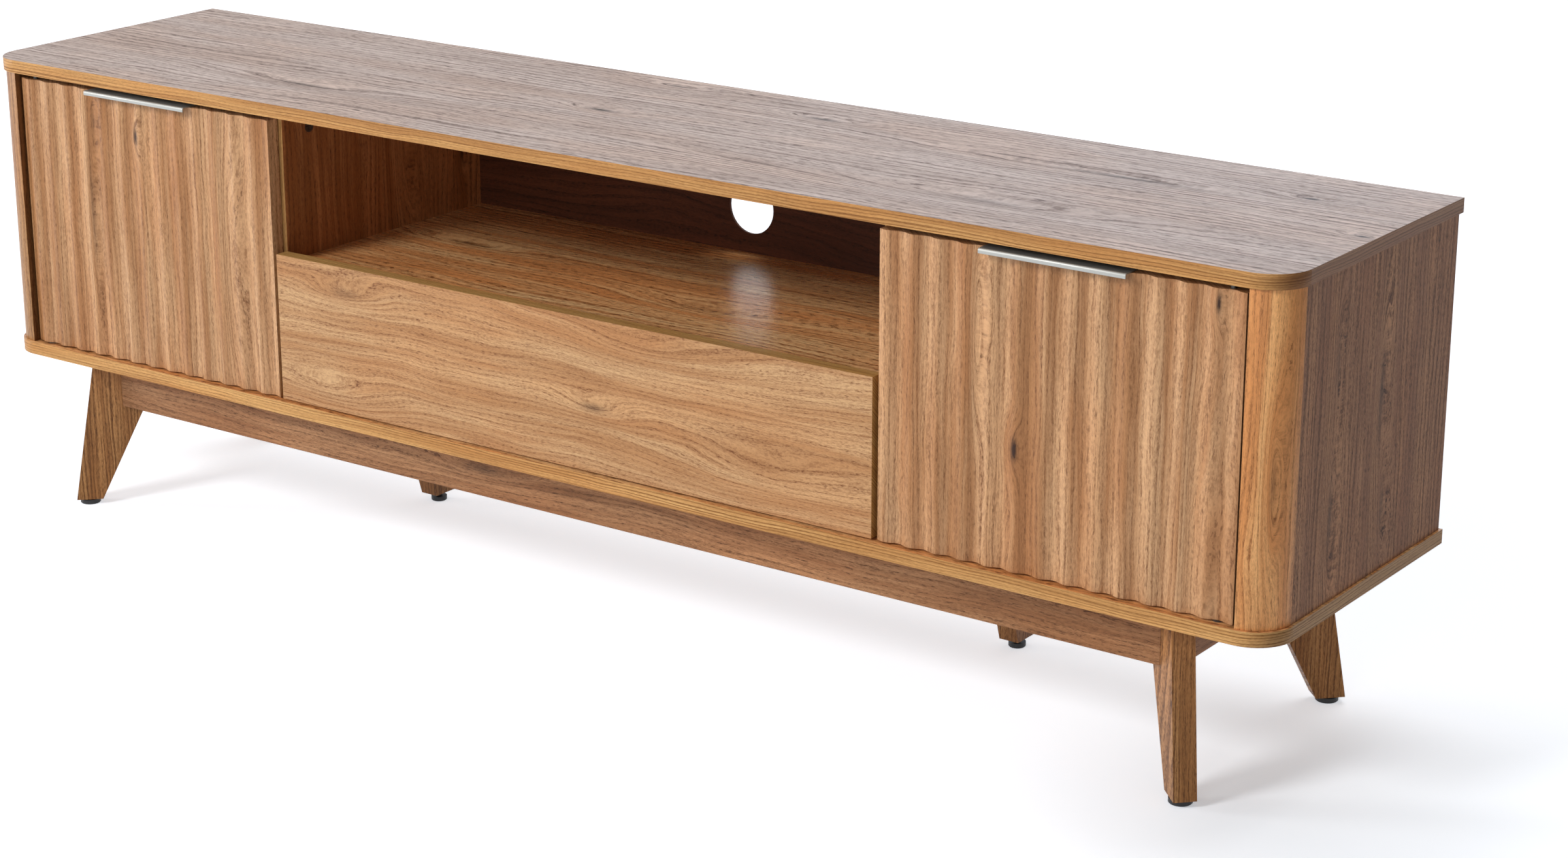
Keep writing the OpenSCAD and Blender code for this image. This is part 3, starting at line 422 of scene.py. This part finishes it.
uprightEdge = {**oakLooks["edge"], "grain": grainZ, "cross": (1, 1, 0), "seed": 6.3}
levelEdge = {**oakLooks["edge"], "grain": grainX, "cross": (0, 1, 1), "seed": 8.4}
lipEdge = {**levelEdge, "pale": colour(214, 170, 104), "mid": colour(186, 142, 80)}
topEdge = {**oakLooks["edge"], "pale": colour(216, 166, 104), "mid": colour(181, 128, 73)}
bottomFace = {**oakLooks["shelf"], "specular": 0.15}
boards = {  # face, edge, the faces' axis, and the painted shade that darkens the band at the board's ends
    "topBoard": (oakLooks["topFace"], topEdge, (0, 0, 1), colour(181, 166, 164)),
    "bottomBoard": (bottomFace, oakLooks["edge"], (0, 0, 1), colour(205, 206, 210)),
    "partition": (oakLooks["inner"], uprightEdge, (1, 0, 0)),
    "sidePanel": (oakLooks["side"], uprightEdge, (1, 0, 0)),
    "shelfBoard": (oakLooks["shelf"], levelEdge, (0, 0, 1)),
    "drawerFace": (oakLooks["drawer"], lipEdge, (0, 1, 0)),
}
posts = {  # look, the way to the door beside it, the painted shade on the face beside the door
    "post": (oakLooks["post"], (-1, 0, 0), colour(48, 40, 34)),
    "postLeft": (oakLooks["postLeft"], (1, 0, 0), colour(180, 168, 156)),
}
plainFinishes = {  # tint, roughness, metal, depth of the grit in metres
    "zincSteel": (colour(196, 198, 200), 0.32, 1.0, 0.0),
    # the pivot pins are zinc steel painted dark: painted shade of the gap they stand in
    "pinShadeSteel": (colour(84, 82, 80), 0.45, 1.0, 0.0),
    "brass": (colour(196, 160, 92), 0.3, 1.0, 0.0),
    "blackPlastic": (colour(22, 22, 24), 0.4, 0.0, 0.00002),
    "brownCap": (colour(70, 48, 34), 0.45, 0.0, 0.0),
    "darkPlastic": (colour(40, 28, 20), 0.45, 0.0, 0.0),
}
satin = {"tint": colour(160, 160, 156), "rough": 0.42, "direction": (1, 0, 0)}
drawerBoxLook = {**oakLooks["drawer"], "seed": 83.3, "figures": []}

materials = {name: boardMaterial(name, *setup) for name, setup in boards.items()}
for name, setup in posts.items():
    materials[name] = postMaterial(name, *setup)
for name, setup in plainFinishes.items():
    materials[name] = plainMaterial(name, *setup)
for name in ("door", "back", "rail", "railSide", "leg"):
    materials[name] = oakMaterial(name, oakLooks[name])
materials["drawerBox"] = oakMaterial("drawerBox", drawerBoxLook)
materials["satinAluminium"] = brushedMaterial("satinAluminium", **satin)
print("materials made:", len(materials))

legs = ["front_left_leg", "front_right_leg", "rear_left_leg", "rear_right_leg",
        "left_centre_leg", "right_centre_leg"]
glides = [leg.replace("_leg", "_glide") for leg in legs]
nodeMaterials = {  # every node that isn't named here is a zinc-plated fitting
    "topBoard": ["top_board"],
    "bottomBoard": ["bottom_board"],
    "sidePanel": ["left_side_panel", "right_side_panel"],
    "post": ["right_corner_post"],
    "postLeft": ["left_corner_post"],
    "door": ["left_door", "right_door"],
    "drawerFace": ["drawer_front"],
    "shelfBoard": ["media_shelf", "left_inner_shelf", "right_inner_shelf"],
    "partition": ["left_partition", "right_partition"],
    "back": ["left_back_sheet", "centre_back_sheet", "right_back_sheet"],
    "rail": ["front_rail", "rear_rail"],
    "railSide": ["left_side_rail", "right_side_rail"],
    "leg": legs,
    "drawerBox": ["drawer_left_side", "drawer_right_side", "drawer_back", "drawer_bottom"],
    "pinShadeSteel": ["left_pivot_pins", "right_pivot_pins"],
    "satinAluminium": ["left_door_handle", "right_door_handle"],
    "brownCap": ["cam_locks"],
    "darkPlastic": ["pivot_bushes"],
    "brass": ["glide_inserts"],
    "blackPlastic": ["door_catches", *glides],
}


def dressNodes():
    chosen = {node: key for key, names in nodeMaterials.items() for node in names}
    for name, piece in nodes.items():
        material = materials[chosen.get(name, "zincSteel")]
        piece.data.materials.clear()
        piece.data.materials.append(material)


dressNodes()

# sharp edges get a small round, wider on the heavier pieces
easing = {"weld": 0.000002, "angle": 35, "segments": 2}
edgeWidths = {
    "board": (0.0008, ["top_board", "bottom_board"]),
    "panel": (0.0005, ["left_side_panel", "right_side_panel", "left_partition", "right_partition",
                       "media_shelf", "drawer_front", "left_inner_shelf", "right_inner_shelf"]),
    "door": (0.0010, ["left_door", "right_door"]),
    "frame": (0.0009, ["front_rail", "rear_rail", "left_side_rail", "right_side_rail",
                       "left_corner_post", "right_corner_post", *legs]),
    "trim": (0.0004, ["left_door_handle", "right_door_handle"]),
}


def easeEdges(piece, width):
    weld = piece.modifiers.new("weld", "WELD")
    weld.merge_threshold = easing["weld"]
    bevel = piece.modifiers.new("ease", "BEVEL")
    bevel.width = width
    bevel.segments = easing["segments"]
    bevel.limit_method = "ANGLE"
    bevel.angle_limit = math.radians(easing["angle"])
    bevel.harden_normals = True
    bevel.use_clamp_overlap = True


for width, names in edgeWidths.values():
    for name in names:
        easeEdges(nodes[name], width)
print("edges eased")

# A white floor and surround, and four lamps. The floor's glow dips near the shade's middle, by the
# right foot: a painted shadow; its glow is full where the fade ends. Lengths are in metres and power is in
# watts.
studio = {
    "floor": 30.0, "floorTint": colour(234, 238, 243), "floorRough": 0.9, "floorSheen": 0.1,
    "glowTint": colour(247, 250, 255), "fade": (1.2, 2.6),
    "shade": (0.97, -0.12, 0.0), "shadeReach": (0.05, 0.45), "shadeGlow": (0.34, 0.62),
    "windowRight": (0.18, 0.42), "windowLeft": (-0.1, -0.35), "windowTint": (1.5, 1.75, 2.05),
    "ambient": 0.17,
}
lamps = {
    "keyLamp": {"place": (-1.6, -4.2, 3.4), "aim": (0, 0, 0.3), "size": 1.6, "power": 147},
    "sideLamp": {"place": (-8.0, -4.0, 2.0), "aim": (0, 0, 0.3), "size": 2.2, "power": 275},
    "fillLamp": {"place": (1.5, -4.2, 1.3), "aim": (0.4, 0, 0.3), "size": 1.6, "power": 24},
    "topLamp": {"place": (0.5, 1.6, 4.0), "aim": (0, 0, 0.3), "size": 3.0, "power": 66},
}


def makeFloor(setup):
    shape = bmesh.new()
    bmesh.ops.create_grid(shape, x_segments=1, y_segments=1, size=setup["floor"])
    mesh = bpy.data.meshes.new("floor")
    shape.to_mesh(mesh)
    shape.free()
    floor = bpy.data.objects.new("floor", mesh)
    bpy.context.scene.collection.objects.link(floor)
    graph = Graph(bpy.data.materials.new("floor"))
    graph.set(Base_Color=setup["floorTint"], Roughness=setup["floorRough"])
    graph.shader.inputs["Specular IOR Level"].default_value = setup["floorSheen"]
    graph.shader.inputs["Emission Color"].default_value = (*setup["glowTint"], 1)
    # the camera sees the floor fade to white round the cabinet, and its shadow stays
    seen, mirrored = graph.rays()
    place = graph.place()
    nearness = graph.add("ShaderNodeVectorMath", {"operation": "DISTANCE"}, (place, setup["shade"]), "Value")
    reach = graph.add("ShaderNodeVectorMath", {"operation": "LENGTH"}, (place,), "Value")
    # painted shadow: the glow is lower near the shade's middle by the right foot
    glow = graph.ramp(nearness, *setup["shadeReach"], *setup["shadeGlow"])
    fade = graph.ramp(reach, *setup["fade"])
    graph.set(Emission_Strength=graph.maths("MAXIMUM", seen, mirrored) * graph.maths("MAXIMUM", glow, fade))
    mesh.materials.append(graph.owner)


def makeLamp(name, setup):
    data = bpy.data.lights.new(name, "AREA")
    data.shape = "DISK"
    data.size = setup["size"]
    data.energy = setup["power"]
    lamp = bpy.data.objects.new(name, data)
    lamp.location = setup["place"]
    direction = Vector(setup["aim"]) - Vector(setup["place"])
    lamp.rotation_euler = direction.to_track_quat("-Z", "Y").to_euler()
    bpy.context.scene.collection.objects.link(lamp)


def makeWorld(setup):  # white where the camera or a reflection looks, dimmer as light
    world = bpy.data.worlds.new("studio")
    bpy.context.scene.world = world
    graph = Graph(world, "Background")
    seen, mirrored = graph.rays()
    direction = graph.add("ShaderNodeTexCoord", output="Generated")
    # a cool window behind the cabinet that only reflections see
    window = graph.ramp(graph.along(direction, (1, 1, 0)), *setup["windowRight"])
    window = window * graph.ramp(graph.along(direction, (1, 0, 0)), *setup["windowLeft"])
    graph.set(Color=graph.blend(window * mirrored, (1, 1, 1), setup["windowTint"]))
    graph.set(Strength=graph.maths("MAXIMUM", seen, mirrored) * (1 - setup["ambient"]) + setup["ambient"])


makeFloor(studio)
makeWorld(studio)
for name, setup in lamps.items():
    makeLamp(name, setup)
bpy.context.scene.view_settings.view_transform = "Standard"
print("studio set")
